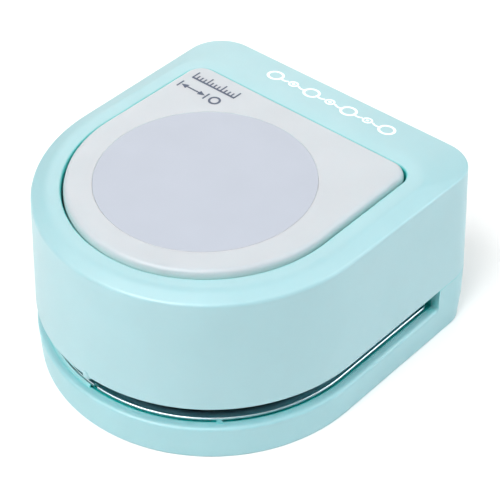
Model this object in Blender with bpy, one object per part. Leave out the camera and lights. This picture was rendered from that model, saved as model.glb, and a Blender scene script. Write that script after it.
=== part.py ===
"""Circle paper punch: a D-shaped desk punch whose push button drives a round cutter through a steel die.

Run with: blender --background --python part.py

The model is in metres, +Z up. It stands on z = 0 with its paper slot facing -Y, and the middle of its
footprint is the origin. The dimensions below are in millimetres, and plan positions are measured from
the cutting axis, which every piece shares as its own origin.
"""
import math

import bmesh
import bpy

MM = 0.001

# ---- driving dimensions ----
CUT_DIAMETER = 45.0      # the circle that it cuts
STROKE = 6.0             # travel of the push button
BUTTON_TOP_Z = 42.3      # height over all
CREASE_Z = 39.2          # where the side walls turn into the top edge
PARTING_Z = 14.1         # joint between the housing and the base, and the top of the paper slot
RIM_Z = 8.4              # top of the base's rim, the bottom of the paper slot
SLOT_END_Y = 30.6        # the slot runs round the front and along both sides to here
DRAFT = 0.054            # outward slope of the housing's walls, per unit of height
FLARE = 0.016            # outward lean of the side lines towards the back, in radians
WALL = 2.2               # thickness of the moulded walls
GAP = 0.3                # clearance between pieces that touch
PAPER_GAP = 1.45         # height of the paper's path between the two plates
DIE_PLATE = (8.35, 9.05)                                        # bottom and top of the die plate
GUIDE_PLATE = (DIE_PLATE[1] + PAPER_GAP, DIE_PLATE[1] + PAPER_GAP + 1.2)
CARRIER = (22.3, 24.8)                                          # bottom and top of the plunger carrier
CUTTER_EDGE_Z = 10.8     # lowest point of the cutter's wavy edge at rest
CUTTER_WAVE = 0.9        # half the height of that wave
CUTTER_TOP_Z = 22.0
CUTTER_RADIUS = CUT_DIAMETER / 2 - GAP
CUTTER_WALL = 2.4
COLLAR_RADIUS = 25.5     # the round window in the base, under the die

# ---- fasteners, posts and springs: plan positions from the cutting axis ----
DIE_SCREW_SPOTS = {"front_left": (-21.1, -21.1), "front_right": (21.1, -21.1),
                   "rear_left": (-27.5, 19.0), "rear_right": (27.5, 19.0)}
POST_SPOTS = {"front_left": (-18.8, -18.8), "front_right": (18.8, -18.8),
              "rear_left": (-20.5, 20.5), "rear_right": (20.5, 20.5)}
HOUSING_SCREW_SPOTS = {"left": (-25.5, 36.6), "right": (25.5, 36.6)}
RIVET_SPOTS = {"left": (-27.0, 26.2), "centre": (0.0, 26.2), "right": (27.0, 26.2)}
CUTTER_SCREW_COUNT = 3
CUTTER_SCREW_CIRCLE = 12.0
POST_RADIUS = 2.0
POST_SPIGOT_RADIUS = 1.4
SPRING_RADIUS = 3.0
SPRING_WIRE = 0.30       # half the wire's thickness
SPRING_TURNS = 5.5

# ---- mesh resolution ----
ARC_STEPS = 18           # each half of a D's round front
CORNER_STEPS = 5
ROUND_STEPS = 48
SMALL_STEPS = 16


class Outline:
    """A D seen from above: a round front, two straight sides and a flat back with round corners."""

    def __init__(self, radius, centre_y, back_y, corner, flare=FLARE):
        self.radius = radius
        self.centre_y = centre_y
        self.back_y = back_y
        self.corner = corner
        self.flare = flare

    def grown(self, by):
        return Outline(self.radius + by, self.centre_y, self.back_y + by, self.corner + by, self.flare)

    def side_x(self, y):
        tangent_y = self.centre_y - self.radius * math.sin(self.flare)
        return self.radius * math.cos(self.flare) + (y - tangent_y) * math.tan(self.flare)

    def ring(self, z):
        """The outline's points at height z, anticlockwise from the middle of the front."""
        half = []
        for step in range(ARC_STEPS + 1):
            angle = -math.pi / 2 + (math.pi / 2 - self.flare) * step / ARC_STEPS
            half.append((self.radius * math.cos(angle), self.centre_y + self.radius * math.sin(angle)))
        turn = math.pi / 2 + self.flare
        corner_y = self.back_y - self.corner
        corner_x = self.side_x(corner_y) - self.corner / math.cos(self.flare)
        for y in (SLOT_END_Y - 0.05, SLOT_END_Y + 0.05):
            if y < corner_y - 1.0:
                half.append((self.side_x(y), y))
            else:
                blend = 0.3 if y < SLOT_END_Y else 0.6
                half.append((self.side_x(corner_y * blend), corner_y * blend))
        for step in range(CORNER_STEPS + 1):
            angle = -self.flare + turn * step / CORNER_STEPS
            half.append((corner_x + self.corner * math.cos(angle), corner_y + self.corner * math.sin(angle)))
        points = half + [(-x, y) for x, y in reversed(half[1:])]
        return [(x, y, z) for x, y in points]


WALL_TOP = Outline(36.3, 1.85, 44.3, 8.4)
CREST = Outline(32.7, 1.3, 33.6, 8.2, 0.0)
OPENING = Outline(29.9, 1.0, 30.25, 5.4, 0.0)
BUTTON = Outline(29.15, 1.0, 29.65, 5.6, 0.0)
SKIRT = Outline(34.0, 1.85, 30.2, 3.5, 0.0)
DIE_OUTLINE = Outline(35.2, 1.85, 30.2, 2.0)
GUIDE_OUTLINE = Outline(33.0, 1.85, 29.9, 3.0, 0.0)
CARRIER_OUTLINE = Outline(31.2, 1.4, 27.6, 6.0, 0.0)
BASE_SHOULDER = Outline(37.85, 1.85, 44.2, 7.9)
BASE_LOW = Outline(37.4, 1.6, 42.9, 6.1)
PIP_RADIUS = 1.0         # the centre mark on the housing's front edge
PIP_PROUD = 0.35


def wall_at(z):
    """The housing's outer wall at height z."""
    return WALL_TOP.grown((CREASE_Z - z) * DRAFT)


HOUSING_FRONT_Y = WALL_TOP.centre_y - wall_at(PARTING_Z).radius
FRONT_Y = HOUSING_FRONT_Y - PIP_PROUD
BACK_Y = wall_at(PARTING_Z - GAP / 2).back_y
DIE_AXIS_Y = -(FRONT_Y + BACK_Y) / 2     # puts the middle of the footprint on the origin


# ---- materials ----
def linear(value):
    """An sRGB value from 0 to 255 as a linear one."""
    value /= 255
    return value / 12.92 if value <= 0.04045 else ((value + 0.055) / 1.055) ** 2.4


def make_material(name, colour, roughness, metallic=0.0):
    material = bpy.data.materials.new(name)
    material.use_nodes = True
    shader = material.node_tree.nodes["Principled BSDF"]
    shader.inputs["Base Color"].default_value = [linear(value) for value in colour] + [1.0]
    shader.inputs["Roughness"].default_value = roughness
    shader.inputs["Metallic"].default_value = metallic
    return material


# ---- mesh helpers ----
def circle(radius, z, steps=ROUND_STEPS, x=0.0, y=0.0):
    angles = [2 * math.pi * step / steps for step in range(steps)]
    return [(x + radius * math.cos(a), y + radius * math.sin(a), z) for a in angles]


def finish(name, mesh_data, material):
    """Links a bmesh in millimetres as a new object on the cutting axis."""
    bmesh.ops.recalc_face_normals(mesh_data, faces=mesh_data.faces)
    bmesh.ops.scale(mesh_data, vec=(MM, MM, MM), verts=mesh_data.verts)
    mesh = bpy.data.meshes.new(name)
    mesh_data.to_mesh(mesh)
    mesh_data.free()
    obj = bpy.data.objects.new(name, mesh)
    obj.location = (0.0, DIE_AXIS_Y * MM, 0.0)
    bpy.context.scene.collection.objects.link(obj)
    if material:
        mesh.materials.append(material)
    return obj


def skin(name, rings, material=None, closed=False):
    """A solid through rings of equal length: closed joins the last ring to the first, otherwise the
    first and last rings are filled."""
    mesh_data = bmesh.new()
    loops = [[mesh_data.verts.new(point) for point in ring] for ring in rings]
    pairs = list(zip(loops, loops[1:] + loops[:1])) if closed else list(zip(loops, loops[1:]))
    for lower, upper in pairs:
        for i in range(len(lower)):
            j = (i + 1) % len(lower)
            mesh_data.faces.new((lower[i], lower[j], upper[j], upper[i]))
    if not closed:
        mesh_data.faces.new(loops[0])
        mesh_data.faces.new(loops[-1])
    return finish(name, mesh_data, material)


def turned(name, profile, material=None, spot=(0.0, 0.0), steps=SMALL_STEPS):
    """A solid of revolution on spot, from its (radius, z) profile."""
    return skin(name, [circle(radius, z, steps, *spot) for radius, z in profile], material)


def cylinder(radius, z_low, z_high, spot=(0.0, 0.0), steps=SMALL_STEPS):
    return turned("tool", [(radius, z_low), (radius, z_high)], None, spot, steps)


def box(name, x, y, z, material=None):
    """A block between the limits x, y and z."""
    corners = ((x[0], y[0]), (x[1], y[0]), (x[1], y[1]), (x[0], y[1]))
    return skin(name, [[(cx, cy, height) for cx, cy in corners] for height in z], material)


def combine(target, tool, operation):
    """Joins tool to target (UNION) or cuts it away (DIFFERENCE), and removes tool."""
    modifier = target.modifiers.new("combine", "BOOLEAN")
    modifier.solver = "EXACT"
    modifier.operation = operation
    modifier.object = tool
    result = bpy.data.meshes.new_from_object(target.evaluated_get(bpy.context.evaluated_depsgraph_get()))
    target.modifiers.clear()
    target.data = result
    bpy.data.objects.remove(tool)


def smooth(obj, angle=32.0):
    obj.data.shade_smooth()
    obj.data.set_sharp_from_angle(angle=math.radians(angle))


# ---- moulded shells ----
def make_housing(material):
    ledge_z = PARTING_Z + 1.8
    opening_bottom = 36.0
    bottom = PARTING_Z + GAP / 2
    rings = [
        wall_at(bottom).ring(bottom),
        WALL_TOP.ring(CREASE_Z),
        WALL_TOP.grown(-0.25).ring(CREASE_Z + 0.65),
        WALL_TOP.grown(-0.85).ring(CREASE_Z + 0.85),
        CREST.ring(41.15),
        OPENING.ring(41.15),
        OPENING.ring(opening_bottom),
        OPENING.grown(1.5).ring(opening_bottom),
        OPENING.grown(1.5).ring(38.9),
        WALL_TOP.grown(-2.6).ring(38.0),
        wall_at(ledge_z).grown(-WALL).ring(ledge_z),
        SKIRT.grown(-1.6).ring(ledge_z),
        SKIRT.grown(-1.6).ring(GUIDE_PLATE[1] + GAP),
        SKIRT.ring(GUIDE_PLATE[1] + GAP),
        SKIRT.ring(bottom),
    ]
    housing = skin("upper_housing", rings, material, closed=True)
    for spot in HOUSING_SCREW_SPOTS.values():
        combine(housing, cylinder(3.4, 15.0, 39.6, spot), "UNION")
        combine(housing, cylinder(1.7, 13.0, 28.0, spot), "DIFFERENCE")
    centre_y = HOUSING_FRONT_Y - PIP_PROUD + PIP_RADIUS
    angles = [math.radians(a) for a in range(-75, 90, 25)]
    pip_profile = [(PIP_RADIUS * math.cos(a), 14.0 + 1.3 * math.sin(a)) for a in angles]
    combine(housing, turned("tool", pip_profile, None, (0.0, centre_y)), "UNION")
    smooth(housing)


def stepped(low, high):
    """A ring that follows low in front of the slot's end and high behind it."""
    return [a if a[1] < SLOT_END_Y else b for a, b in zip(low, high)]


def make_base(material):
    floor_z = 1.8
    top = PARTING_Z - GAP / 2
    rim = BASE_SHOULDER
    rings = [
        BASE_LOW.grown(-0.5).ring(0.0),
        BASE_LOW.ring(0.6),
        rim.ring(7.2),
        stepped(rim.grown(-0.35).ring(8.05), wall_at(top).ring(top - 0.25)),
        stepped(rim.grown(-1.15).ring(RIM_Z), wall_at(top).grown(-0.25).ring(top)),
        stepped(rim.grown(-2.05).ring(RIM_Z), wall_at(top).grown(-WALL).ring(top)),
        rim.grown(-WALL).ring(8.0),
        BASE_LOW.grown(-WALL).ring(floor_z),
    ]
    base = skin("base_tray", rings, material)
    combine(base, cylinder(COLLAR_RADIUS + 1.7, 1.0, 6.8, steps=ROUND_STEPS), "UNION")
    combine(base, cylinder(COLLAR_RADIUS, -1.0, 8.0, steps=ROUND_STEPS), "DIFFERENCE")
    combine(base, box("tool", (-36.2, 36.2), (SLOT_END_Y + 0.6, SLOT_END_Y + 2.2), (1.0, top - 0.6)), "UNION")
    for spot in HOUSING_SCREW_SPOTS.values():
        combine(base, cylinder(4.3, 1.0, top, spot), "UNION")
        combine(base, cylinder(1.7, -1.0, top + 1.0, spot), "DIFFERENCE")
        combine(base, cylinder(3.1, -1.0, 3.6, spot), "DIFFERENCE")
    for spot in DIE_SCREW_SPOTS.values():
        combine(base, cylinder(3.2, 1.0, DIE_PLATE[0] - GAP, spot), "UNION")
        combine(base, cylinder(1.4, -1.0, 9.0, spot), "DIFFERENCE")
        combine(base, cylinder(2.6, -1.0, 3.0, spot), "DIFFERENCE")
    smooth(base)


# ---- the plunger: everything that travels with the button ----
def cutter_screw_spots():
    angles = [math.pi / 2 + 2 * math.pi * i / CUTTER_SCREW_COUNT for i in range(CUTTER_SCREW_COUNT)]
    return [(CUTTER_SCREW_CIRCLE * math.cos(a), CUTTER_SCREW_CIRCLE * math.sin(a)) for a in angles]


def make_button(material):
    skirt_bottom = 35.0
    rings = [
        BUTTON.grown(-1.8).ring(BUTTON_TOP_Z - 2.0),
        BUTTON.grown(-1.8).ring(skirt_bottom),
        BUTTON.ring(skirt_bottom),
        BUTTON.ring(BUTTON_TOP_Z - 1.2),
        BUTTON.grown(-0.35).ring(BUTTON_TOP_Z - 0.35),
        BUTTON.grown(-1.2).ring(BUTTON_TOP_Z),
    ]
    button = skin("push_button", rings, material)
    pocket = cylinder(CUT_DIAMETER / 2 + GAP, BUTTON_TOP_Z - 1.0, BUTTON_TOP_Z + 1.0, steps=ROUND_STEPS)
    combine(button, pocket, "DIFFERENCE")
    for spot in cutter_screw_spots():
        combine(button, cylinder(3.2, CARRIER[1] + GAP, BUTTON_TOP_Z - 1.5, spot), "UNION")
        combine(button, cylinder(1.7, CARRIER[1] - 1.0, 36.0, spot), "DIFFERENCE")
    smooth(button)


def make_button_disc(material):
    radius = CUT_DIAMETER / 2
    profile = [(radius, BUTTON_TOP_Z - 0.7), (radius, BUTTON_TOP_Z - 0.1), (radius - 0.1, BUTTON_TOP_Z)]
    smooth(turned("button_disc", profile, material, steps=ROUND_STEPS))


def make_carrier(material):
    carrier = skin("plunger_carrier", [CARRIER_OUTLINE.ring(z) for z in CARRIER], material)
    for spot in POST_SPOTS.values():
        combine(carrier, cylinder(POST_RADIUS + 0.35, CARRIER[0] - 1, CARRIER[1] + 1, spot), "DIFFERENCE")
    for spot in cutter_screw_spots():
        combine(carrier, cylinder(1.7, CARRIER[0] - 1, CARRIER[1] + 1, spot), "DIFFERENCE")
    smooth(carrier)


def wavy_circle(radius):
    """The cutter's edge: it waves so that the cut starts at two places and shears round."""
    points = circle(radius, CUTTER_EDGE_Z)
    return [(x, y, z + CUTTER_WAVE * (1 - math.cos(2 * math.atan2(y, x)))) for x, y, z in points]


def make_cutter(material):
    inner = CUTTER_RADIUS - CUTTER_WALL
    web_z = CUTTER_TOP_Z - 2.8
    rings = [circle(inner, web_z), wavy_circle(inner), wavy_circle(CUTTER_RADIUS),
             circle(CUTTER_RADIUS, CUTTER_TOP_Z)]
    cutter = skin("circle_cutter", rings, material)
    for spot in cutter_screw_spots():
        combine(cutter, cylinder(1.7, web_z - 1, CUTTER_TOP_Z + 1, spot), "DIFFERENCE")
    smooth(cutter)


# ---- plates and hardware ----
def make_plate(name, outline, levels, holes, material):
    """A plate with the round hole on the cutting axis, and smaller holes given as (spot, radius)."""
    low, high = levels[0] - 1, levels[1] + 1
    plate = skin(name, [outline.ring(z) for z in levels], material)
    combine(plate, cylinder(CUT_DIAMETER / 2, low, high, steps=ROUND_STEPS), "DIFFERENCE")
    for spot, radius in holes:
        combine(plate, cylinder(radius, low, high, spot), "DIFFERENCE")
    smooth(plate)


def make_spacer(material):
    levels = (DIE_PLATE[1] + GAP, GUIDE_PLATE[0] - GAP)
    spacer = box("plate_spacer", (-31.0, 31.0), (24.4, 29.8), levels, material)
    for spot in RIVET_SPOTS.values():
        combine(spacer, cylinder(1.5, levels[0] - 1, levels[1] + 1, spot), "DIFFERENCE")


def make_rivet(side, spot, material):
    head, shank, head_height = 2.0, 1.2, 0.6
    low, high = DIE_PLATE[0] - GAP, GUIDE_PLATE[1] + GAP
    profile = [(head - 0.4, low - head_height), (head, low - head_height + 0.3), (head, low), (shank, low),
               (shank, high), (head, high), (head, high + head_height - 0.3), (head - 0.4, high + head_height)]
    smooth(turned("plate_rivet_" + side, profile, material, spot))


def make_post(place, spot, material):
    groove_low, groove_high = CARRIER[1] + 0.05, CARRIER[1] + 1.15
    shoulder, groove, top = GUIDE_PLATE[1] + GAP, POST_RADIUS - 0.5, CARRIER[1] + 1.7
    profile = [(POST_SPIGOT_RADIUS, GUIDE_PLATE[0] + 0.1), (POST_SPIGOT_RADIUS, shoulder),
               (POST_RADIUS, shoulder), (POST_RADIUS, groove_low), (groove, groove_low),
               (groove, groove_high), (POST_RADIUS, groove_high), (POST_RADIUS, top - 0.3),
               (POST_RADIUS - 0.3, top)]
    smooth(turned("guide_post_" + place, profile, material, spot))


def make_clip(place, spot, material):
    """The open ring in a post's groove that holds the carrier down against its springs."""
    inner, outer, opening = POST_RADIUS - 0.2, 3.3, math.radians(70)
    steps = 14
    rings = []
    for step in range(steps + 1):
        angle = opening / 2 + (2 * math.pi - opening) * step / steps
        cos, sin = math.cos(angle), math.sin(angle)
        low, high = CARRIER[1] + 0.35, CARRIER[1] + 0.85
        corners = ((inner, low), (outer, low), (outer, high), (inner, high))
        rings.append([(spot[0] + r * cos, spot[1] + r * sin, z) for r, z in corners])
    smooth(skin("retaining_clip_" + place, rings, material))


def make_spring(place, spot, material):
    """A coil between the guide plate and the carrier, with its end turns lying close."""
    steps_per_turn, sides, end_turns = 10, 5, 0.75
    low = GUIDE_PLATE[1] + GAP + SPRING_WIRE
    high = CARRIER[0] - GAP - SPRING_WIRE
    count = round(SPRING_TURNS * steps_per_turn)
    end_rise = 2 * SPRING_WIRE * end_turns
    rings = []
    for step in range(count + 1):
        turn = step / steps_per_turn
        if turn < end_turns:
            z = low + end_rise * turn / end_turns
        elif turn > SPRING_TURNS - end_turns:
            z = high - end_rise * (SPRING_TURNS - turn) / end_turns
        else:
            part = (turn - end_turns) / (SPRING_TURNS - 2 * end_turns)
            z = low + end_rise + (high - low - 2 * end_rise) * part
        angle = 2 * math.pi * turn
        ring = []
        for side in range(sides):
            around = 2 * math.pi * side / sides
            radius = SPRING_RADIUS + SPRING_WIRE * math.cos(around)
            ring.append((spot[0] + radius * math.cos(angle), spot[1] + radius * math.sin(angle),
                         z + SPRING_WIRE * math.sin(around)))
        rings.append(ring)
    smooth(skin("return_spring_" + place, rings, material), 80.0)


def make_screw(name, spot, head, shank, levels, material):
    """A pan-head screw pointing up: levels are the head's bottom, its seat and the shank's tip."""
    low, seat, tip = levels
    profile = [(head - 0.5, low), (head, low + 0.4), (head, seat), (shank, seat), (shank, tip - 0.5),
               (shank - 0.4, tip)]
    smooth(turned(name, profile, material, spot))


def main():
    for obj in list(bpy.data.objects):
        bpy.data.objects.remove(obj)
    aqua = make_material("aqua_plastic", (190, 229, 235), 0.42)
    button_white = make_material("button_white", (226, 231, 237), 0.40)
    disc_grey = make_material("disc_grey", (208, 216, 228), 0.35)
    steel = make_material("plate_steel", (198, 202, 205), 0.22, 1.0)
    cutter_zinc = make_material("cutter_zinc", (168, 172, 176), 0.35, 1.0)
    carrier_grey = make_material("carrier_nylon", (205, 208, 210), 0.50)
    zinc_plated = make_material("zinc_plated_steel", (190, 193, 196), 0.30, 1.0)
    spring_steel = make_material("spring_steel", (160, 163, 167), 0.30, 1.0)

    make_housing(aqua)
    make_base(aqua)
    make_button(button_white)
    make_button_disc(disc_grey)
    make_carrier(carrier_grey)
    make_cutter(cutter_zinc)

    rivet_holes = [(spot, 1.5) for spot in RIVET_SPOTS.values()]
    die_holes = rivet_holes + [(spot, 1.4) for spot in DIE_SCREW_SPOTS.values()]
    guide_holes = rivet_holes + [(spot, POST_SPIGOT_RADIUS + GAP) for spot in POST_SPOTS.values()]
    make_plate("die_plate", DIE_OUTLINE, DIE_PLATE, die_holes, steel)
    make_plate("guide_plate", GUIDE_OUTLINE, GUIDE_PLATE, guide_holes, steel)
    make_spacer(steel)

    for side, spot in RIVET_SPOTS.items():
        make_rivet(side, spot, zinc_plated)
    for place, spot in POST_SPOTS.items():
        make_post(place, spot, zinc_plated)
        make_clip(place, spot, spring_steel)
        make_spring(place, spot, spring_steel)
    for place, spot in DIE_SCREW_SPOTS.items():
        make_screw("die_screw_" + place, spot, 2.2, 1.1, (1.0, 2.7, DIE_PLATE[1] - 0.2), zinc_plated)
    for side, spot in HOUSING_SCREW_SPOTS.items():
        make_screw("housing_screw_" + side, spot, 2.7, 1.4, (1.6, 3.3, 26.0), zinc_plated)
    seat_z = CUTTER_TOP_Z - 2.8 - GAP
    for number, spot in enumerate(cutter_screw_spots(), 1):
        make_screw(f"cutter_screw_{number}", spot, 2.7, 1.4, (seat_z - 1.6, seat_z, 35.0), zinc_plated)


main()
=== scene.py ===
"""The circle paper punch as it looks: fine shells, hardware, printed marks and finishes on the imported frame.

Plan positions and heights below are in millimetres. Plan positions are measured from the cutting axis, and
-Y is the round front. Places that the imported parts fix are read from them.
"""
import math

import bmesh
import bpy
from mathutils import Matrix, Vector
from mathutils.bvhtree import BVHTree


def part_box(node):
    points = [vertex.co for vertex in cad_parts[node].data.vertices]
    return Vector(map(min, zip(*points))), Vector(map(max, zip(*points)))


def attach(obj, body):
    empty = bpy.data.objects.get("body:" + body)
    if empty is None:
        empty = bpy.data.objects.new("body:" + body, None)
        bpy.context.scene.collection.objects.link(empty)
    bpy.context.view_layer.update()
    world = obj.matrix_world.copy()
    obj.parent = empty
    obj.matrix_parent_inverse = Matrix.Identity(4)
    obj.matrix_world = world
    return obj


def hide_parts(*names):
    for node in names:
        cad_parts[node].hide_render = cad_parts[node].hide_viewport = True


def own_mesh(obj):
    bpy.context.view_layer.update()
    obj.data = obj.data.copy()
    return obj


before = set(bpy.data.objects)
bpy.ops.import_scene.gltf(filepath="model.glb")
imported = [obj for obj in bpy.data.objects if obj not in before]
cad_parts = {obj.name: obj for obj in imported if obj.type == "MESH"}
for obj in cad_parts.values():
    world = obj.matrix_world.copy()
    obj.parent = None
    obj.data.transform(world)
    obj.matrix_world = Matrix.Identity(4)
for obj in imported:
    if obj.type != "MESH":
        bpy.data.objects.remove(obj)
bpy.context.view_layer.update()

MM = 0.001
BODY = "punch_body"
PLUNGER = "plunger"
PLACES = ("front_left", "front_right", "rear_left", "rear_right")
SIDES = ("left", "right")
CUTTER_SCREWS = (1, 2, 3)


def middle(node):
    """The middle of a node's box in plan, in metres."""
    low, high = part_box(node)
    return (low.x + high.x) / 2, (low.y + high.y) / 2


def levels(node):
    """A node's lowest and highest level, in millimetres."""
    low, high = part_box(node)
    return low.z / MM, high.z / MM


AXIS_Y = middle("button_disc")[1]        # the cutting axis, in metres


def spot_of(node):
    """Where a node stands in plan, from the cutting axis, in millimetres."""
    x, y = middle(node)
    return x / MM, (y - AXIS_Y) / MM


# ---- sizes that the frame fixes ----
TOP_Z = levels("push_button")[1]
DISC_RADIUS = (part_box("button_disc")[1].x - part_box("button_disc")[0].x) / 2 / MM
DIE_PLATE = levels("die_plate")
GUIDE_PLATE = levels("guide_plate")
CARRIER = levels("plunger_carrier")
BOSS_END_Z = levels("push_button")[0]

# ---- sizes of the mouldings ----
CREASE_Z = 39.2          # the side walls end here and the rounded top edge starts
CREST_Z = 41.15          # the housing's top face
PARTING_Z = 13.8         # where the housing meets the base, behind the slot
RIM_Z = 8.4              # the base's rim, below the slot
LEDGE_Z = 7.5            # the ledge inside the rim, under the die plate's edge
SHOULDER_Z = 7.0         # the base's foot ends here and its rim starts
SLOT_END_Y = 30.6        # the slot's rear end
DRAFT = 0.054            # how far the housing's wall leans in, per unit of height
FLARE = 0.016            # how far the straight sides spread to the back, in radians
WALL = 2.2
RIM_WIDTH = 2.1
BUTTON_SKIRT_Z = 35.0    # the button's side wall reaches down to here
PARTING_GAP = 0.04       # half the line between the housing and the base
PARTING_EDGE = 0.12      # rounding of the edges along that line
COLLAR_RADIUS = 25.5     # the round window in the base, under the die
SCREW_HOLE = 1.7         # radius of the holes for the housing's and the cutter's screws

# ---- mesh resolution ----
ARC_STEPS = 48           # an outline's quarter of a circle
CORNER_STEPS = 12
BACK_STEPS = 12
BEND_STEPS = 6
DISC_STEPS = 192
DIE_STEPS = 144          # the die's hole and the cutter
WINDOW_STEPS = 96
WELD_REACH = 0.0005      # points closer than this become one
# how the rim rises at the slot's end: (place past the end, part of the rise)
SLOT_STATIONS = ((-0.8, 0.0), (-0.5, 0.01), (-0.25, 0.035), (-0.08, 0.075), (0.0, 0.125), (0.02, 0.97),
                 (0.06, 0.99), (0.14, 1.0))
# the straight sides' points, close together at the slot's end
SIDE_START_Y, SIDE_END_Y = 1.3, 36.0
SIDE_YS = ([SIDE_START_Y + 5.6 * i for i in range(1, 6)] + [SLOT_END_Y + y for y, _ in SLOT_STATIONS]
           + [32.5, 34.2])

# ---- looks ----
WHITE = (1.0, 1.0, 1.0)
PAINTED_GAP_LIGHT_REACH = 4.5      # how far a gap's walls are looked for, for the painted gap shade and bounce light
PAINTED_GAP_LIGHT_FROM_Z = 4.5     # the painted gap shade and bounce light fade in above this height
FLOOR_GLOW = 0.03        # the floor is a softly lit table
WORLD_GLOW = 0.02
LIGHT_DISTANCE = 0.9     # in metres
LIGHT_SIZE = 0.6         # in metres
# name, azimuth, elevation, power and colour
LIGHTS = (
    ("front", 0.0, 50.0, 7.78, WHITE),
    ("left", -45.0, 50.0, 2.21, (1.0, 0.91, 0.87)),
    ("high", 45.0, 70.0, 2.4, WHITE),
    ("back_right", 135.0, 50.0, 3.17, (0.96, 1.0, 1.0)),
    ("back_left", -135.0, 42.0, 1.44, (1.0, 0.83, 0.76)),
    ("low_right", 135.0, 18.0, 2.88, (0.86, 0.95, 1.0)),
    ("low_back", -135.0, 18.0, 1.25, (1.0, 0.92, 0.87)),
)
# the camera's direction in degrees, and its place from the cutting axis, in metres
CAMERA_AZIMUTH, CAMERA_ELEVATION, CAMERA_ROLL = 41.569, 40.877, -0.171
CAMERA_PLACE = (0.160697, -0.167874, 0.224258)
CAMERA_LENS, CAMERA_SENSOR = 106.624, 36.0


class Outline:
    """A D seen from above: a round front, two straight sides and a flat back with round corners. back_y is
    the back's place, corner the corners' radius, and flare the angle by which the sides spread."""

    def __init__(self, radius, centre_y, back_y, corner, flare=FLARE):
        self.radius = radius
        self.centre_y = centre_y
        self.back_y = back_y
        self.corner = corner
        self.flare = flare

    def grown(self, by):
        """The outline moved out by this much, or in if it is negative."""
        return Outline(self.radius + by, self.centre_y, self.back_y + by, self.corner + by, self.flare)

    def side_start(self):
        """Where the round front ends and the straight sides start."""
        return self.centre_y - self.radius * math.sin(self.flare)

    def side_x(self, y):
        """Half the width at y, along the straight sides."""
        return self.radius * math.cos(self.flare) + (y - self.side_start()) * math.tan(self.flare)

    def ring(self, z):
        """The outline's points at height z, anticlockwise from the middle of the front."""
        half = []
        for step in range(ARC_STEPS + 1):
            angle = -math.pi / 2 + (math.pi / 2 - self.flare) * step / ARC_STEPS
            half.append((self.radius * math.cos(angle), self.centre_y + self.radius * math.sin(angle)))
        corner_y = self.back_y - self.corner
        corner_x = self.side_x(corner_y) - self.corner / math.cos(self.flare)
        for y in SIDE_YS:
            if corner_y < SIDE_YS[-1] + 0.5:
                part = (y - SIDE_START_Y) / (SIDE_END_Y - SIDE_START_Y)
                y = self.side_start() + (corner_y - self.side_start()) * part
            half.append((self.side_x(y), y))
        for step in range(CORNER_STEPS + 1):
            angle = -self.flare + (math.pi / 2 + self.flare) * step / CORNER_STEPS
            half.append((corner_x + self.corner * math.cos(angle), corner_y + self.corner * math.sin(angle)))
        edge_x = half[-1][0]
        back = [(edge_x * (1 - 2 * i / BACK_STEPS), self.back_y) for i in range(1, BACK_STEPS)]
        points = half + back + [(-x, y) for x, y in reversed(half[1:])]
        return [(x, y, z) for x, y in points]


WALL_TOP = Outline(36.3, 1.85, 44.3, 8.4)
CREST = Outline(32.7, 1.3, 33.6, 8.2, 0.0)
OPENING = Outline(29.5, 1.0, 30.05, 4.2, 0.0)
BUTTON = Outline(29.1, 1.0, 29.65, 4.0, 0.0)
SKIRT = Outline(34.0, 1.85, 30.2, 3.5, 0.0)
DIE_OUTLINE = Outline(35.45, 1.85, 30.2, 2.0)
GUIDE_OUTLINE = Outline(33.0, 1.85, 29.9, 3.0, 0.0)
CARRIER_OUTLINE = Outline(31.2, 1.4, 27.6, 6.0, 0.0)
BASE_SHOULDER = Outline(37.85, 1.85, 44.2, 7.9)
BASE_LOW = Outline(37.4, 1.6, 42.9, 6.1)


def wall_at(z):
    """The housing's outer wall at height z."""
    return WALL_TOP.grown((CREASE_Z - z) * DRAFT)


# ---- rings ----
def mixed(ring_a, ring_b, part):
    """The ring that lies part of the way from one ring to another."""
    return [tuple(a + (b - a) * part for a, b in zip(p, q)) for p, q in zip(ring_a, ring_b)]


def circle(radius, z, steps, x=0.0, y=0.0):
    """A level circle with no point on the middle line, where the outlines have theirs."""
    angles = [2 * math.pi * (step + 0.5) / steps for step in range(steps)]
    return [(x + radius * math.cos(a), y + radius * math.sin(a), z) for a in angles]


def pulled(ring, other, reach):
    """The ring's points, moved by reach towards those of the other ring."""
    moved = []
    for p, q in zip(ring, other):
        p, q = Vector(p), Vector(q)
        gap = (q - p).length
        moved.append(tuple(p.lerp(q, min(reach / gap, 0.5) if gap else 0.0)))
    return moved


def rounded(path, steps=BEND_STEPS, closed=False):
    """The rings of a path of (ring, reach), with each bend rounded over its reach on both sides."""
    rings = []
    for i, (ring, reach) in enumerate(path):
        if not reach or (not closed and i in (0, len(path) - 1)):
            rings.append(ring)
            continue
        start = pulled(ring, path[i - 1][0], reach)
        end = pulled(ring, path[(i + 1) % len(path)][0], reach)
        for step in range(steps + 1):
            part = step / steps
            rings.append(mixed(mixed(start, ring, part), mixed(ring, end, part), part))
    return rings


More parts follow.
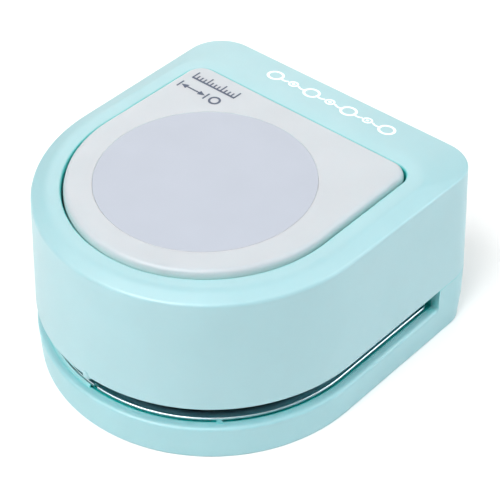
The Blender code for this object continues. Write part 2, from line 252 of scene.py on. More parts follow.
# ---- mesh helpers ----
def skin(name, rings, closed=False):
    """A solid through rings of equal length: closed joins the last ring to the first, otherwise the
    first and last rings are filled."""
    mesh_data = bmesh.new()
    loops = [[mesh_data.verts.new(point) for point in ring] for ring in rings]
    pairs = list(zip(loops, loops[1:] + loops[:1])) if closed else list(zip(loops, loops[1:]))
    for lower, upper in pairs:
        for i in range(len(lower)):
            j = (i + 1) % len(lower)
            mesh_data.faces.new((lower[i], lower[j], upper[j], upper[i]))
    if not closed:
        mesh_data.faces.new(loops[0])
        mesh_data.faces.new(loops[-1])
    bmesh.ops.recalc_face_normals(mesh_data, faces=mesh_data.faces)
    bmesh.ops.scale(mesh_data, vec=(MM, MM, MM), verts=mesh_data.verts)
    mesh = bpy.data.meshes.new(name)
    mesh_data.to_mesh(mesh)
    mesh_data.free()
    obj = bpy.data.objects.new(name, mesh)
    obj.location = (0.0, AXIS_Y, 0.0)
    bpy.context.scene.collection.objects.link(obj)
    return obj


def turned(name, profile, spot=(0.0, 0.0), steps=32):
    """A solid of revolution on spot, from its (radius, z, reach) profile; reach rounds a bend."""
    path = [(circle(radius, z, steps, *spot), reach) for radius, z, reach in profile]
    return skin(name, rounded(path, 3))


def cylinder(radius, z_low, z_high, spot=(0.0, 0.0), steps=32):
    """An upright cylinder on spot, for joining or cutting."""
    return turned("tool", [(radius, z_low, 0), (radius, z_high, 0)], spot, steps)


def block(name, x, y, z):
    """A block between the limits x, y and z."""
    corners = ((x[0], y[0]), (x[1], y[0]), (x[1], y[1]), (x[0], y[1]))
    return skin(name, [[(cx, cy, height) for cx, cy in corners] for height in z])


def combine(target, tool, operation):
    """Joins tool to target (UNION), cuts it away (DIFFERENCE) or keeps what both share (INTERSECT), and
    removes tool."""
    bpy.context.view_layer.update()
    modifier = target.modifiers.new("combine", "BOOLEAN")
    modifier.solver = "EXACT"
    modifier.operation = operation
    modifier.object = tool
    target.data = bpy.data.meshes.new_from_object(target.evaluated_get(bpy.context.evaluated_depsgraph_get()))
    target.modifiers.clear()
    bpy.data.objects.remove(tool)


def weld(mesh):
    """Closes the hairline splits and removes the slivers that the cuts leave."""
    mesh_data = bmesh.new()
    mesh_data.from_mesh(mesh)
    bmesh.ops.remove_doubles(mesh_data, verts=mesh_data.verts, dist=WELD_REACH * MM)
    bmesh.ops.dissolve_degenerate(mesh_data, edges=mesh_data.edges, dist=WELD_REACH * MM)
    mesh_data.to_mesh(mesh)
    mesh_data.free()


def shown(obj, body, nodes, material, angle=35.0):
    """Finishes a piece: smooth shading, its material, its body and the parts of the frame it stands for."""
    weld(obj.data)
    obj.data.shade_smooth()
    obj.data.set_sharp_from_angle(angle=math.radians(angle))
    normals = obj.modifiers.new("normals", "WEIGHTED_NORMAL")
    normals.keep_sharp = True
    obj.data.materials.clear()
    obj.data.materials.append(material)
    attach(obj, body)
    if nodes:
        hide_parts(*nodes)
    return obj


# ---- materials ----
def linear(value):
    """An sRGB value from 0 to 255 as a linear one."""
    value /= 255
    return value / 12.92 if value <= 0.04045 else ((value + 0.055) / 1.055) ** 2.4


def rgba(colour, shade=1.0):
    """An sRGB colour as a linear one with alpha, lightened or darkened by shade."""
    return [min(linear(value) * shade, 1.0) for value in colour] + [1.0]


class Finish:
    """A material whose colour, roughness and bump come from noise in the piece's own space."""

    def __init__(self, name, metallic=0.0):
        self.material = bpy.data.materials.new(name)
        self.material.use_nodes = True
        self.nodes = self.material.node_tree.nodes
        self.links = self.material.node_tree.links
        self.shader = self.nodes["Principled BSDF"]
        self.shader.inputs["Metallic"].default_value = metallic
        self.place = self.nodes.new("ShaderNodeTexCoord").outputs["Object"]

    def noise(self, size_mm, detail=2.0, stretch=(1.0, 1.0, 1.0)):
        """Noise whose features are about size_mm across, stretched along each axis."""
        mapping = self.nodes.new("ShaderNodeMapping")
        mapping.inputs["Scale"].default_value = [1.0 / s for s in stretch]
        self.links.new(self.place, mapping.inputs["Vector"])
        texture = self.nodes.new("ShaderNodeTexNoise")
        texture.inputs["Scale"].default_value = 1.0 / (size_mm * MM)
        texture.inputs["Detail"].default_value = detail
        self.links.new(mapping.outputs["Vector"], texture.inputs["Vector"])
        return texture.outputs["Fac"]

    def ramp(self, source, low, high, low_colour, high_colour):
        """A colour that goes from low_colour to high_colour as source goes from low to high."""
        ramp = self.nodes.new("ShaderNodeValToRGB")
        ramp.color_ramp.elements[0].position = low
        ramp.color_ramp.elements[0].color = low_colour
        ramp.color_ramp.elements[1].position = high
        ramp.color_ramp.elements[1].color = high_colour
        self.links.new(source, ramp.inputs["Fac"])
        return ramp.outputs["Color"]

    def spread(self, source, low, high):
        """The noise as a number from low to high."""
        spread = self.nodes.new("ShaderNodeMapRange")
        spread.inputs["From Min"].default_value = 0.3
        spread.inputs["From Max"].default_value = 0.7
        spread.inputs["To Min"].default_value = low
        spread.inputs["To Max"].default_value = high
        self.links.new(source, spread.inputs["Value"])
        return spread.outputs["Result"]

    def paint_gap_light(self, source, painted_gap_colour):
        """The colour source, multiplied by a gap colour where the surface is enclosed by nearby walls: painted
        shade and painted bounce light, standing in for the light that reaches a narrow gap after bouncing off
        the coloured plastic several times. Near the floor it stays as it is."""
        gap_light_mask = self.nodes.new("ShaderNodeAmbientOcclusion")
        gap_light_mask.samples = 12
        gap_light_mask.inputs["Distance"].default_value = PAINTED_GAP_LIGHT_REACH * MM
        tint = self.ramp(gap_light_mask.outputs["AO"], 0.35, 0.93, (*painted_gap_colour, 1.0), (*WHITE, 1.0))
        mix = self.nodes.new("ShaderNodeMix")
        mix.data_type = "RGBA"
        mix.blend_type = "MULTIPLY"
        split = self.nodes.new("ShaderNodeSeparateXYZ")
        self.links.new(self.place, split.inputs["Vector"])
        fade = self.nodes.new("ShaderNodeMapRange")
        fade.inputs["From Min"].default_value = PAINTED_GAP_LIGHT_FROM_Z * MM
        fade.inputs["From Max"].default_value = (PAINTED_GAP_LIGHT_FROM_Z + 2.0) * MM
        self.links.new(split.outputs["Z"], fade.inputs["Value"])
        self.links.new(fade.outputs["Result"], mix.inputs["Factor"])
        self.links.new(source, mix.inputs["A"])
        self.links.new(tint, mix.inputs["B"])
        return mix.outputs["Result"]

    def colour(self, source):
        self.links.new(source, self.shader.inputs["Base Color"])

    def roughness(self, source):
        self.links.new(source, self.shader.inputs["Roughness"])

    def bump(self, *layers):
        """Bumps from (noise, height in mm) layers."""
        normal = None
        for source, height_mm in layers:
            bump = self.nodes.new("ShaderNodeBump")
            bump.inputs["Strength"].default_value = 1.0
            bump.inputs["Distance"].default_value = height_mm * MM
            self.links.new(source, bump.inputs["Height"])
            if normal:
                self.links.new(normal, bump.inputs["Normal"])
            normal = bump.outputs["Normal"]
        self.links.new(normal, self.shader.inputs["Normal"])


def moulded_plastic(name, colour, roughness, grain_mm=0.004, scatter=None, painted_gap_light=None, gloss=0.5):
    """Satin moulded plastic: a faint cloudiness, a fine eroded grain and the slow waver of a moulding.
    scatter is how far light travels inside it, in mm; the gap colour after it is a painted shade and painted
    bounce light, multiplied into the colour in narrow gaps; each as (red, green, blue)."""
    finish = Finish(name)
    cloud = finish.noise(9.0, 3.0)
    grain = finish.noise(0.22, 3.0)
    tone = finish.ramp(cloud, 0.3, 0.7, rgba(colour, 0.985), rgba(colour, 1.015))
    # painted shade and bounce light in narrow gaps
    if painted_gap_light:
        tone = finish.paint_gap_light(tone, painted_gap_light)
    finish.colour(tone)
    finish.roughness(finish.spread(grain, roughness - 0.04, roughness + 0.04))
    finish.bump((finish.noise(14.0, 1.0), 0.02), (grain, grain_mm))
    finish.shader.inputs["IOR"].default_value = 1.5
    finish.shader.inputs["Specular IOR Level"].default_value = gloss
    if scatter:
        finish.shader.inputs["Subsurface Weight"].default_value = 1.0
        finish.shader.inputs["Subsurface Radius"].default_value = scatter
        finish.shader.inputs["Subsurface Scale"].default_value = MM
    return finish.material


def rolled_steel(name, colour, painted_edge_highlight, roughness):
    """Rolled sheet: a dark mirror on the flat, with faint lengthwise streaks and a few specks of dust. Faces
    that do not face up or down get a much lighter colour, a painted highlight along the edge."""
    finish = Finish(name)
    streaks = finish.noise(0.3, 2.0, (14.0, 1.0, 1.0))
    specks = finish.noise(0.3, 1.0)
    split = finish.nodes.new("ShaderNodeSeparateXYZ")
    finish.links.new(finish.nodes["Texture Coordinate"].outputs["Normal"], split.inputs["Vector"])
    edge_highlight_mask = finish.nodes.new("ShaderNodeMath")
    edge_highlight_mask.operation = "ABSOLUTE"
    finish.links.new(split.outputs["Z"], edge_highlight_mask.inputs[0])
    # the side faces get the light colour: a painted highlight
    finish.colour(finish.ramp(edge_highlight_mask.outputs["Value"], 0.88, 0.98, rgba(painted_edge_highlight), rgba(colour)))
    finish.roughness(finish.spread(streaks, roughness - 0.02, roughness + 0.02))
    clean = finish.ramp(specks, 0.7, 0.74, (*WHITE, 1.0), (0.1, 0.1, 0.1, 1.0))
    finish.links.new(clean, finish.shader.inputs["Metallic"])
    finish.bump((streaks, 0.0002))
    return finish.material


def machined_steel(name, colour, roughness, turn_mm=0.12):
    """Turned or ground steel: fine level rings, turn_mm apart, and soft colour clouds."""
    finish = Finish(name, 1.0)
    rings = finish.noise(turn_mm, 1.0, (8.0, 8.0, 1.0))
    cloud = finish.noise(2.0, 2.0)
    finish.colour(finish.ramp(cloud, 0.3, 0.7, rgba(colour, 0.9), rgba(colour, 1.08)))
    finish.roughness(finish.spread(rings, roughness - 0.06, roughness + 0.08))
    finish.bump((rings, 0.002))
    return finish.material


def printed_ink(name, colour, roughness=0.45):
    """A printed film, a little uneven in tone."""
    finish = Finish(name)
    finish.colour(finish.ramp(finish.noise(0.5, 2.0), 0.3, 0.7, rgba(colour, 0.93), rgba(colour, 1.07)))
    finish.roughness(finish.spread(finish.noise(0.2), roughness - 0.05, roughness + 0.05))
    return finish.material


# The last colour but one of each plastic below is its painted gap shade and bounce light: the aqua goes darker
# and greener in gaps, and the base's aqua and the white button go lighter in green and blue there.
AQUA = moulded_plastic("aqua_plastic", (155, 193, 199), 0.42, scatter=(0.3, 0.4, 0.4),
                       painted_gap_light=(0.06, 0.9, 0.8), gloss=1.0)
# a copy of the housing's aqua a little darker in red: painted shade on the base near the floor
AQUA_BASE_PAINTED_SHADE = moulded_plastic("aqua_plastic_base", (149, 194, 200), 0.42, scatter=(0.3, 0.4, 0.4),
                            painted_gap_light=(0.04, 1.25, 1.12), gloss=1.0)
BUTTON_WHITE = moulded_plastic("button_white", (181, 188, 193), 0.38, 0.002, scatter=(0.8, 1.0, 1.0),
                               painted_gap_light=(1.06, 1.3, 1.25))
DISC_GREY = moulded_plastic("disc_grey", (162, 170, 182), 0.36, 0.002)
NYLON = moulded_plastic("carrier_nylon", (205, 208, 210), 0.5)
# the second colour is a painted highlight on the edges of the plates and the spacer bar
PLATE_STEEL = rolled_steel("plate_steel", (135, 158, 170), (240, 246, 250), 0.3)
CUTTER_STEEL = machined_steel("cutter_zinc", (176, 180, 184), 0.32)
ZINC = machined_steel("zinc_plated_steel", (196, 199, 202), 0.28)
SPRING_STEEL = machined_steel("spring_steel", (165, 168, 172), 0.3, 0.3)
SLATE_INK = printed_ink("slate_ink", (72, 86, 108))
WHITE_INK = printed_ink("white_ink", (238, 250, 255))


# ---- the mouldings ----
def make_housing():
    """The upper moulding: outer wall, rounded top edge, opening with its collar, and inner skirt."""
    bottom = PARTING_Z + PARTING_GAP
    ledge_z = PARTING_Z + 1.8
    skirt_z = GUIDE_PLATE[1] + 0.3
    collar_z, roof_z, roof_edge_z = 36.0, 38.9, 38.0
    collar_outside = OPENING.grown(1.5)
    skirt_inside = SKIRT.grown(-1.6)
    path = [
        (wall_at(bottom).ring(bottom), PARTING_EDGE),
        (WALL_TOP.grown(-0.03).ring(CREASE_Z + 0.55), 0.6),
        (CREST.ring(CREST_Z), 1.0),
        (OPENING.ring(CREST_Z), 0.55),
        (OPENING.ring(collar_z), 0.2),
        (collar_outside.ring(collar_z), 0.2),
        (collar_outside.ring(roof_z), 0.4),
        (WALL_TOP.grown(-2.6).ring(roof_edge_z), 0.8),
        (wall_at(ledge_z).grown(-WALL).ring(ledge_z), 0.4),
        (skirt_inside.ring(ledge_z), 0.4),
        (skirt_inside.ring(skirt_z), 0.15),
        (SKIRT.ring(skirt_z), 0.2),
        (SKIRT.ring(bottom), 0.3),
    ]
    housing = skin("housing_shell", rounded(path, closed=True), closed=True)
    boss_radius, boss_low, boss_high = 3.4, 15.0, 39.6
    hole_top = 28.0
    for side in SIDES:
        spot = spot_of("housing_screw_" + side)
        combine(housing, cylinder(boss_radius, boss_low, boss_high, spot), "UNION")
        combine(housing, cylinder(SCREW_HOLE, boss_low - 2.0, hole_top, spot), "DIFFERENCE")
    combine(housing, make_pip(), "UNION")
    return shown(housing, BODY, ["upper_housing"], AQUA)


def make_pip():
    """The small raised mark at the middle of the housing's front edge, which stands proud of its wall."""
    radius, half_height, proud, centre_z = 1.25, 1.5, 0.35, 13.9
    wall = wall_at(PARTING_Z)
    centre_y = wall.centre_y - wall.radius - proud + radius
    angles = [math.radians(a) for a in range(-80, 90, 10)]
    profile = [(radius * math.cos(a), centre_z + half_height * math.sin(a), 0) for a in angles]
    return turned("tool", profile, (0.0, centre_y))


def stepped(low_rings, high_rings):
    """Rings that follow the low ones in front of the slot's end and the high ones behind it."""
    slack = 0.001

    def height_part(y):
        place = y - SLOT_END_Y
        if place <= SLOT_STATIONS[0][0] + slack:
            return 0.0
        for (y_a, part_a), (y_b, part_b) in zip(SLOT_STATIONS, SLOT_STATIONS[1:]):
            if place <= y_b + slack:
                return part_a + (part_b - part_a) * (place - y_a) / (y_b - y_a)
        return 1.0

    rings = []
    for low, high in zip(low_rings, high_rings):
        ring = []
        for a, b in zip(low, high):
            part = height_part(a[1])
            ring.append(tuple(p + (q - p) * part for p, q in zip(a, b)))
        rings.append(ring)
    return rings


def make_base():
    """The lower moulding: a tray with a ledge for the die plate, and its rear raised to the parting line."""
    top = PARTING_Z - PARTING_GAP
    floor_z, cavity_z, under_z = 1.8, 5.2, LEDGE_Z - 1.2
    rim, inner, under = BASE_SHOULDER, BASE_SHOULDER.grown(-RIM_WIDTH), BASE_SHOULDER.grown(-2 * RIM_WIDTH)
    rear, cavity = wall_at(top), BASE_LOW.grown(-WALL)
    low = rounded([(rim.ring(SHOULDER_Z), 0), (rim.ring(RIM_Z), 1.5), (inner.ring(RIM_Z), 0.2),
                   (inner.ring(LEDGE_Z), 0.1), (under.ring(LEDGE_Z), 0.2), (under.ring(under_z), 0)])
    high = rounded([(rim.ring(SHOULDER_Z), 0), (rear.ring(top), PARTING_EDGE),
                    (rear.grown(-WALL).ring(top), 0.15), (inner.ring(LEDGE_Z), 0.1),
                    (under.ring(LEDGE_Z), 0.2), (under.ring(under_z), 0)])
    foot = rounded([(BASE_LOW.grown(-2.0).ring(0.0), 0), (BASE_LOW.ring(0.0), 0.55),
                    (rim.ring(SHOULDER_Z), 0)])
    floor = rounded([(under.ring(under_z), 0), (cavity.ring(cavity_z), 0.3), (cavity.ring(floor_z), 0.5),
                     (BASE_LOW.grown(-WALL - 1.5).ring(floor_z), 0)])
    base = skin("base_shell", foot[:-1] + stepped(low, high) + floor[1:])
    below, inside = -1.0, 1.0      # levels under the base and within its floor, where joins and cuts start
    collar = cylinder(COLLAR_RADIUS + 1.7, inside, 6.8, steps=WINDOW_STEPS)
    combine(base, collar, "UNION")
    chamfer = 0.6
    window = turned("tool", [(COLLAR_RADIUS + chamfer, below, 0), (COLLAR_RADIUS + chamfer, 0.0, 0),
                             (COLLAR_RADIUS, chamfer, 0), (COLLAR_RADIUS, 8.0, 0)], steps=WINDOW_STEPS)
    combine(base, window, "DIFFERENCE")
    slot_end = block("tool", (-36.1, 36.1), (SLOT_END_Y + 0.6, SLOT_END_Y + WALL), (inside, top - 0.6))
    combine(base, slot_end, "UNION")
    housing_boss, housing_head, housing_head_depth = 4.3, 3.1, 3.6
    for side in SIDES:
        spot = spot_of("housing_screw_" + side)
        combine(base, cylinder(housing_boss, inside, top - 0.1, spot), "UNION")
        combine(base, cylinder(SCREW_HOLE, below, top + 1.0, spot), "DIFFERENCE")
        combine(base, counterbore(housing_head, housing_head_depth, spot), "DIFFERENCE")
    die_boss, die_hole, die_head, die_head_depth = 3.2, 1.4, 2.6, 3.0
    for place in PLACES:
        spot = spot_of("die_screw_" + place)
        combine(base, cylinder(die_boss, inside, DIE_PLATE[0] - 0.1, spot), "UNION")
        combine(base, cylinder(die_hole, below, 9.0, spot), "DIFFERENCE")
        combine(base, counterbore(die_head, die_head_depth, spot), "DIFFERENCE")
    for side in (-1, 1):
        combine(base, make_tab(side), "UNION")
    combine(base, make_lip(), "UNION")
    shown(base, BODY, ["base_tray"], AQUA_BASE_PAINTED_SHADE)


def counterbore(radius, depth, spot):
    """A screw's hole in the underside, with its mouth eased."""
    ease = 0.25
    return turned("tool", [(radius + ease, -1.0, 0), (radius + ease, 0.0, 0), (radius, ease, 0),
                           (radius, depth, 0)], spot)


def make_tab(side):
    """One of the two small tabs inside the rim that locate the die plate."""
    inner, outer, half_width, angle = 34.9, 36.2, 0.6, math.radians(-46.0)
    tab = block("tool", (inner, outer), (-half_width, half_width), (SHOULDER_Z - 0.6, RIM_Z + 0.08))
    turn = angle if side > 0 else math.pi - angle
    tab.data.transform(Matrix.Rotation(turn, 4, "Z"))
    tab.location.y += BASE_SHOULDER.centre_y * MM
    return tab


def make_lip():
    """To the left of the pip the ledge rises inwards to a low lip that hides the die plate's edge."""
    foot, high = 8.0, 9.25
    inner, outer = BASE_SHOULDER.grown(0.02 - RIM_WIDTH), BASE_SHOULDER.grown(-1.35)
    path = [(inner.ring(SHOULDER_Z), 0), (inner.ring(high), 0.15), (outer.ring(foot), 0),
            (outer.ring(SHOULDER_Z), 0)]
    lip = skin("tool", rounded(path, closed=True), closed=True)
    left_side = block("tool", (-40.0, -1.0), (-50.0, SLOT_END_Y + 0.5), (0.0, 20.0))
    combine(lip, left_side, "INTERSECT")
    return lip


# ---- the plunger ----
def make_button():
    """The white cap: a rounded upper edge, a skirt, a round seat for the disc and three screw bosses."""
    ceiling_z = TOP_Z - 2.0
    path = [
        (BUTTON.grown(-4.0).ring(ceiling_z), 0),
        (BUTTON.grown(-1.8).ring(ceiling_z), 0.4),
        (BUTTON.grown(-1.8).ring(BUTTON_SKIRT_Z), 0.2),
        (BUTTON.ring(BUTTON_SKIRT_Z), 0.2),
        (BUTTON.ring(CREST_Z - 0.3), 0.6),
        (BUTTON.grown(-0.55).ring(TOP_Z), 1.25),
        (BUTTON.grown(-2.5).ring(TOP_Z), 0),
    ]
    button = skin("button_cap", rounded(path, 8))
    seat = cylinder(DISC_RADIUS + 0.04, TOP_Z - 1.0, TOP_Z + 1.0, steps=DISC_STEPS)
    combine(button, seat, "DIFFERENCE")
    boss_radius, hole_top = 3.2, 36.0
    for number in CUTTER_SCREWS:
        spot = spot_of(f"cutter_screw_{number}")
        combine(button, cylinder(boss_radius, BOSS_END_Z, ceiling_z + 0.5, spot), "UNION")
        combine(button, cylinder(SCREW_HOLE, BOSS_END_Z - 1.0, hole_top, spot), "DIFFERENCE")
    return shown(button, PLUNGER, ["push_button"], BUTTON_WHITE)


def make_disc():
    """The grey disc, level with the button's top, with its edge just broken."""
    low = levels("button_disc")[0]
    edge = 0.04
    rings = [circle(DISC_RADIUS, low, DISC_STEPS), circle(DISC_RADIUS, TOP_Z - edge, DISC_STEPS),
             circle(DISC_RADIUS - edge, TOP_Z, DISC_STEPS), circle(DISC_RADIUS - 1.0, TOP_Z, DISC_STEPS)]
    shown(skin("disc_inlay", rings), PLUNGER, ["button_disc"], DISC_GREY)


def make_carrier():
    """The plate that slides on the posts and carries the button above it and the cutter below."""
    low, high = CARRIER
    edge, post_hole = 0.3, 2.35
    inset = CARRIER_OUTLINE.grown(-1.0)
    path = [(inset.ring(low), 0), (CARRIER_OUTLINE.ring(low), edge), (CARRIER_OUTLINE.ring(high), edge),
            (inset.ring(high), 0)]
    carrier = skin("carrier_plate", rounded(path, 3))
    holes = [(spot_of("guide_post_" + place), post_hole) for place in PLACES]
    holes += [(spot_of(f"cutter_screw_{number}"), SCREW_HOLE) for number in CUTTER_SCREWS]
    for spot, radius in holes:
        combine(carrier, cylinder(radius, low - 1, high + 1, spot), "DIFFERENCE")
    shown(carrier, PLUNGER, ["plunger_carrier"], NYLON)


def make_cutter():
    """The round cutter: a cup with a waved lower edge, ground to a narrow land."""
    edge_z, top = levels("circle_cutter")
    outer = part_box("circle_cutter")[1].x / MM
    wall, wave, web = 2.4, 0.9, 2.8

    def edge(radius, lift):
        points = circle(radius, edge_z + lift, DIE_STEPS)
        return [(x, y, z + wave * (1 - math.cos(2 * math.atan2(y, x)))) for x, y, z in points]

    rings = [
        circle(outer - wall - 3.0, top - web, DIE_STEPS),
        circle(outer - wall - 0.5, top - web, DIE_STEPS),
        circle(outer - wall, top - web - 0.5, DIE_STEPS),
        edge(outer - wall, 1.1),
        edge(outer - 0.9, 0.02),
        edge(outer - 0.06, 0.0),
        edge(outer, 0.06),
        circle(outer, top - 0.3, DIE_STEPS),
        circle(outer - 0.3, top, DIE_STEPS),
        circle(outer - 2.0, top, DIE_STEPS),
    ]
    cutter = skin("cutter_cup", rings)
    for number in CUTTER_SCREWS:
        spot = spot_of(f"cutter_screw_{number}")
        combine(cutter, cylinder(SCREW_HOLE, top - web - 1, top + 1, spot), "DIFFERENCE")
    shown(cutter, PLUNGER, ["circle_cutter"], CUTTER_STEEL, 28.0)


# ---- plates ----
def make_plate(name, node, outline, holes, tools=()):
    """A stamped plate with the round hole on the cutting axis, small holes as (spot, radius) and cuts. Its
    upper edge is rolled over by the stamping."""
    low, high = levels(node)
    lower_edge, upper_edge = 0.06, 0.28
    inset = outline.grown(-0.8)
    path = [(inset.ring(low), 0), (outline.ring(low), lower_edge), (outline.ring(high), upper_edge),
            (inset.ring(high), 0)]
    plate = skin(name, rounded(path, 5))
    combine(plate, cylinder(DISC_RADIUS, low - 1, high + 1, steps=DIE_STEPS), "DIFFERENCE")
    for spot, radius in holes:
        combine(plate, cylinder(radius, low - 1, high + 1, spot), "DIFFERENCE")
    for tool in tools:
        combine(plate, tool, "DIFFERENCE")
    shown(plate, BODY, [node], PLATE_STEEL)


def make_plates():
    """The die plate, notched at the front, the guide plate above it and the bar that keeps them apart."""
    rivet_holes = [(spot_of("plate_rivet_" + side), 1.3) for side in ("left", "centre", "right")]
    screw_holes = [(spot_of("die_screw_" + place), 1.2) for place in PLACES]
    post_holes = [(spot_of("guide_post_" + place), 1.45) for place in PLACES]
    front_y = DIE_OUTLINE.centre_y - DIE_OUTLINE.radius
    notch = block("tool", (-0.5, 0.5), (front_y - 1.0, front_y + 0.5), (DIE_PLATE[0] - 1, DIE_PLATE[1] + 1))
    make_plate("die_sheet", "die_plate", DIE_OUTLINE, rivet_holes + screw_holes, [notch])
    make_plate("guide_sheet", "guide_plate", GUIDE_OUTLINE, rivet_holes + post_holes)
    clear = 0.02
    low, high = DIE_PLATE[1] + clear, GUIDE_PLATE[0] - clear
    spacer = block("spacer_bar", (-31.0, 31.0), (24.4, 29.8), (low, high))
    for spot, radius in rivet_holes:
        combine(spacer, cylinder(radius, low - 1, high + 1, spot), "DIFFERENCE")
    shown(spacer, BODY, ["plate_spacer"], PLATE_STEEL)


# ---- hardware ----
def make_rivets():
    """Rivets with a domed head at both ends."""
    low, high = levels("plate_rivet_centre")
    seat_low, seat_high = DIE_PLATE[0] - 0.02, GUIDE_PLATE[1] + 0.02
    profile = [(0.8, low, 0), (1.7, low, 0.3), (2.0, seat_low, 0.05), (1.2, seat_low, 0), (1.2, seat_high, 0),
               (2.0, seat_high, 0.05), (1.7, high, 0.3), (0.8, high, 0)]
    for side in ("left", "centre", "right"):
        node = "plate_rivet_" + side
        rivet = turned("rivet_" + side, profile, spot_of(node))
        shown(rivet, BODY, [node], ZINC)


def make_posts():
    """Guide posts, headed over below the guide plate and grooved for a clip above the carrier."""
    low, high = levels("guide_post_front_left")
    groove_low, groove_high = CARRIER[1] + 0.05, CARRIER[1] + 1.15
    shoulder = GUIDE_PLATE[1] + 0.02
    profile = [(0.9, low, 0), (1.4, low, 0.15), (1.4, shoulder, 0), (2.0, shoulder, 0.1),
               (2.0, groove_low, 0.05), (1.5, groove_low, 0), (1.5, groove_high, 0), (2.0, groove_high, 0.05),
               (2.0, high, 0.35), (0.9, high, 0)]
    for place in PLACES:
        node = "guide_post_" + place
        post = turned("post_" + place, profile, spot_of(node))
        shown(post, BODY, [node], ZINC)


def make_clips():
    """Open retaining rings in the posts' grooves, with round lugs at the opening."""
    opening, steps = math.radians(70), 40
    for place in PLACES:
        node = "retaining_clip_" + place
        x, y = spot_of("guide_post_" + place)
        low, high = levels(node)
        rings = []
        for step in range(steps + 1):
            part = step / steps
            angle = opening / 2 + (2 * math.pi - opening) * part
            neck = abs(2 * part - 1) ** 10
            inner, outer = 1.55 + 0.25 * neck, 3.2 + 0.1 * neck
            corners = ((inner, low), (outer, low), (outer, high), (inner, high))
            rings.append([(x + r * math.cos(angle), y + r * math.sin(angle), z) for r, z in corners])
        shown(skin("clip_" + place, rings), BODY, [node], SPRING_STEEL)


def make_springs():
    """Coils with close end turns."""
    turns, end_turns, steps_per_turn, sides = 5.5, 0.75, 28, 10
    radius, wire = 3.0, 0.3
    for place in PLACES:
        node = "return_spring_" + place
        x, y = spot_of("guide_post_" + place)
        bottom, top = GUIDE_PLATE[1] + 0.3, CARRIER[0] - 0.3
        low, high = bottom + wire, top - wire
        rise = 2 * wire * end_turns
        rings = []
        for step in range(round(turns * steps_per_turn) + 1):
            turn = step / steps_per_turn
            middle_part = (turn - end_turns) / (turns - 2 * end_turns)
            z = low + rise + (high - low - 2 * rise) * middle_part
            if turn < end_turns:
                z = low + rise * turn / end_turns
            elif turn > turns - end_turns:
                z = high - rise * (turns - turn) / end_turns
            angle = 2 * math.pi * turn
            ring = []
            for side in range(sides):
                around = 2 * math.pi * side / sides
                reach = radius + wire * math.cos(around)
                ring.append((x + reach * math.cos(angle), y + reach * math.sin(angle),
                             z + wire * math.sin(around)))
            rings.append(ring)
        spring = skin("coil_" + place, rings)
        shown(spring, BODY, [node], SPRING_STEEL, 60.0)
        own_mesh(spring)


def make_screw(name, node, head, shank, seat):
    """A pan-head screw pointing up, with a cross recess and a thread. head and shank are radii, and seat
    is the level where the head ends."""
    low, high = levels(node)
    spot = spot_of(node)
    core = shank * 0.82
    pitch = 1.0
    profile = [(head * 0.35, low, 0), (head * 0.85, low, 0.5), (head, low + 0.8, 0.3), (head, seat, 0.08),
               (core, seat, 0)]
    z = seat + pitch
    while z < high - 2 * pitch:
        profile += [(core, z, 0), (shank, z + pitch * 0.35, 0), (core, z + pitch * 0.7, 0)]
        z += pitch
    profile += [(core, high - 0.7, 0), (shank * 0.3, high, 0)]
    screw = turned(name, profile, spot)
    wing_length, wing_width, recess_turn = head * 0.52, head * 0.11, 0.4
    for angle in (0.0, math.pi / 2):
        wing = block("tool", (-wing_length, wing_length), (-wing_width, wing_width), (low - 0.5, low + 0.85))
        wing.data.transform(Matrix.Rotation(angle + recess_turn, 4, "Z"))
        wing.location.x += spot[0] * MM
        wing.location.y += spot[1] * MM
        combine(screw, wing, "DIFFERENCE")
    return screw


def make_screws():
    for place in PLACES:
        node = "die_screw_" + place
        screw = make_screw("die_fixing_" + place, node, 2.2, 1.1, 2.98)
        shown(screw, BODY, [node], ZINC)
    for side in SIDES:
        node = "housing_screw_" + side
        screw = make_screw("case_fixing_" + side, node, 2.7, 1.4, 3.58)
        shown(screw, BODY, [node], ZINC)
    for number in CUTTER_SCREWS:
        node = f"cutter_screw_{number}"
        screw = make_screw(f"cutter_fixing_{number}", node, 2.7, 1.4, levels("circle_cutter")[1] - 2.82)
        shown(screw, PLUNGER, [node], ZINC)


# ---- printed marks ----
INK = 0.02               # half the height of a printed film's solid, which sinks into what it is printed on


def ring_mark(x, y, radius, line):
    """A ring with a stroke as wide as line, inside its radius."""
    section = ((radius, -INK), (radius, INK), (radius - line, INK), (radius - line, -INK))
    return skin("mark", [circle(r, z, 48, x, y) for r, z in section], closed=True)


def dot_mark(x, y, radius):
    """A filled dot."""
    return skin("mark", [circle(radius, z, 24, x, y) for z in (-INK, INK)])


def shape_mark(points):
    """A flat mark from its corners, anticlockwise."""
    return skin("mark", [[(x, y, z) for x, y in points] for z in (-INK, INK)])


def bar_mark(x, y, half_x, half_y):
    """A filled rectangle round (x, y)."""
    return shape_mark([(x - half_x, y - half_y), (x + half_x, y - half_y), (x + half_x, y + half_y),
                       (x - half_x, y + half_y)])


def arc_mark(x, y, radius, line, start, end, steps=24):
    """Part of a ring, from the angle start to the angle end in degrees."""
    sections = []
    for step in range(steps + 1):
        angle = math.radians(start + (end - start) * step / steps)
        corners = ((radius - line, -INK), (radius, -INK), (radius, INK), (radius - line, INK))
        sections.append([(x + r * math.cos(angle), y + r * math.sin(angle), z) for r, z in corners])
    return skin("mark", sections)


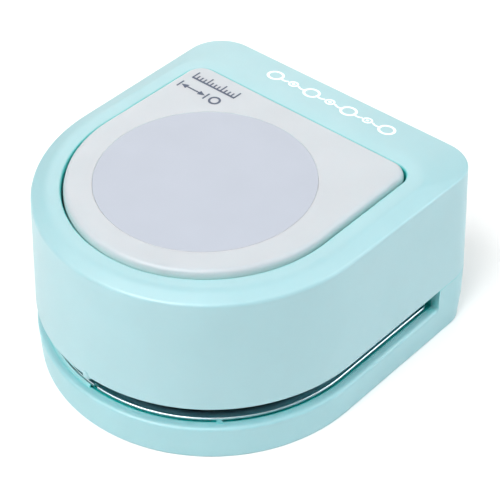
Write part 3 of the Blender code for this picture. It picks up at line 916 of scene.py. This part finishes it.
def print_on(name, marks, surface, body, material):
    """Joins marks into one printed film and lays it on the surface below it."""
    surface.data.calc_loop_triangles()
    corners = [vertex.co for vertex in surface.data.vertices]
    tree = BVHTree.FromPolygons(corners, [triangle.vertices for triangle in surface.data.loop_triangles])
    film = bmesh.new()
    for mark in marks:
        film.from_mesh(mark.data)
        bpy.data.objects.remove(mark)
    for vertex in film.verts:
        hit = tree.ray_cast(Vector((vertex.co.x, vertex.co.y, 0.1)), Vector((0.0, 0.0, -1.0)))[0]
        vertex.co.z += hit.z
    mesh = bpy.data.meshes.new(name)
    film.to_mesh(mesh)
    film.free()
    obj = bpy.data.objects.new(name, mesh)
    obj.location = surface.matrix_world.translation
    bpy.context.scene.collection.objects.link(obj)
    shown(obj, body, [], material, 30.0)


def make_size_sign(button):
    """The button's size sign, read from behind: a ring with its dimension arrow, and a short rule."""
    near_y, far_y = 20.8, 24.2
    left, right, ring_x = -26.2, -19.4, -16.6
    rule_end = ring_x + 2.6
    head, line = 1.7, 0.36
    marks = [ring_mark(ring_x, near_y, 1.4, 0.5), bar_mark((left + right) / 2, near_y, 2.2, line / 2)]
    for tip, way in ((left, 1), (right, -1)):
        corners = [(tip, near_y), (tip + way * head, near_y - 0.75), (tip + way * head, near_y + 0.75)]
        marks.append(shape_mark(corners if way > 0 else corners[::-1]))
        marks.append(bar_mark(tip - way * 0.35, near_y, 0.2, 1.15))
    marks.append(bar_mark((left + rule_end) / 2, far_y, (rule_end - left) / 2, 0.24))
    ticks, inset, tick_half_width = 12, 0.14, 0.19
    for tick in range(ticks + 1):
        x = left + inset + (rule_end - 2 * inset - left) * tick / ticks
        length = 2.3 if tick % 4 == 0 else 1.3
        marks.append(bar_mark(x, far_y + length / 2, tick_half_width, length / 2))
    print_on("size_sign", marks, button, PLUNGER, SLATE_INK)


def make_ornament(housing):
    """The white garland of rings and bows on the housing's rear strip."""
    y, pitch, count = 38.6, 5.1, 7
    first = -14.7
    marks = []
    for i in range(count):
        x = first + pitch * i
        large = i % 2 == 0
        marks.append(ring_mark(x, y, 2.0 if large else 1.2, 0.62 if large else 0.45))
        if not large:
            marks.append(dot_mark(x, y, 0.4))
        if i < count - 1:
            marks.append(arc_mark(x + pitch / 2, y + 1.15, 1.8, 0.5, 222, 318))
    print_on("rear_ornament", marks, housing, BODY, WHITE_INK)


# ---- stage, light and camera ----
def make_stage():
    """A wide pale floor under the punch."""
    bpy.ops.mesh.primitive_plane_add(size=6.0, location=(0.0, 0.0, 0.0))
    floor = bpy.context.object
    floor.name = "studio_floor"
    finish = Finish("studio_paper")
    white = (240, 240, 240)
    finish.colour(finish.ramp(finish.noise(40.0), 0.3, 0.7, rgba(white, 0.995), rgba(white, 1.0)))
    finish.roughness(finish.spread(finish.noise(5.0), 0.85, 0.9))
    finish.shader.inputs["Emission Color"].default_value = (*WHITE, 1.0)
    finish.shader.inputs["Emission Strength"].default_value = FLOOR_GLOW
    floor.data.materials.append(finish.material)


def direction(azimuth, elevation):
    """The way out from the punch in degrees: azimuth 0 is the front and 90 the right."""
    turn, lift = math.radians(azimuth), math.radians(elevation)
    return Vector((math.sin(turn) * math.cos(lift), -math.cos(turn) * math.cos(lift), math.sin(lift)))


def area_light(name, azimuth, elevation, power, colour):
    """A square soft light that looks at the punch's middle."""
    data = bpy.data.lights.new(name, "AREA")
    data.shape = "SQUARE"
    data.size = LIGHT_SIZE
    data.energy = power
    data.color = colour
    light = bpy.data.objects.new(name, data)
    away = direction(azimuth, elevation)
    light.location = away * LIGHT_DISTANCE + Vector((0.0, 0.0, 0.02))
    light.rotation_euler = away.to_track_quat("Z", "Y").to_euler()
    bpy.context.scene.collection.objects.link(light)


def make_lights():
    """A faint white world and the soft lights."""
    world = bpy.data.worlds.new("studio")
    world.use_nodes = True
    background = world.node_tree.nodes["Background"]
    background.inputs["Color"].default_value = (*WHITE, 1.0)
    background.inputs["Strength"].default_value = WORLD_GLOW
    bpy.context.scene.world = world
    for light in LIGHTS:
        area_light(*light)


def make_camera():
    """The camera, above the front right."""
    data = bpy.data.cameras.new("camera")
    data.sensor_width = CAMERA_SENSOR
    data.lens = CAMERA_LENS
    data.clip_start = 0.01
    camera = bpy.data.objects.new("camera", data)
    back = direction(CAMERA_AZIMUTH, CAMERA_ELEVATION)
    roll = Matrix.Rotation(math.radians(CAMERA_ROLL), 3, "Z")
    camera.location = Vector(CAMERA_PLACE) + Vector((0.0, AXIS_Y, 0.0))
    camera.rotation_euler = (back.to_track_quat("Z", "Y").to_matrix() @ roll).to_euler()
    bpy.context.scene.collection.objects.link(camera)
    bpy.context.scene.camera = camera


make_ornament(make_housing())
make_base()
make_size_sign(make_button())
make_disc()
make_carrier()
make_cutter()
make_plates()
make_rivets()
make_posts()
make_clips()
make_springs()
make_screws()
make_stage()
make_lights()
make_camera()
bpy.context.scene.view_settings.view_transform = "Standard"
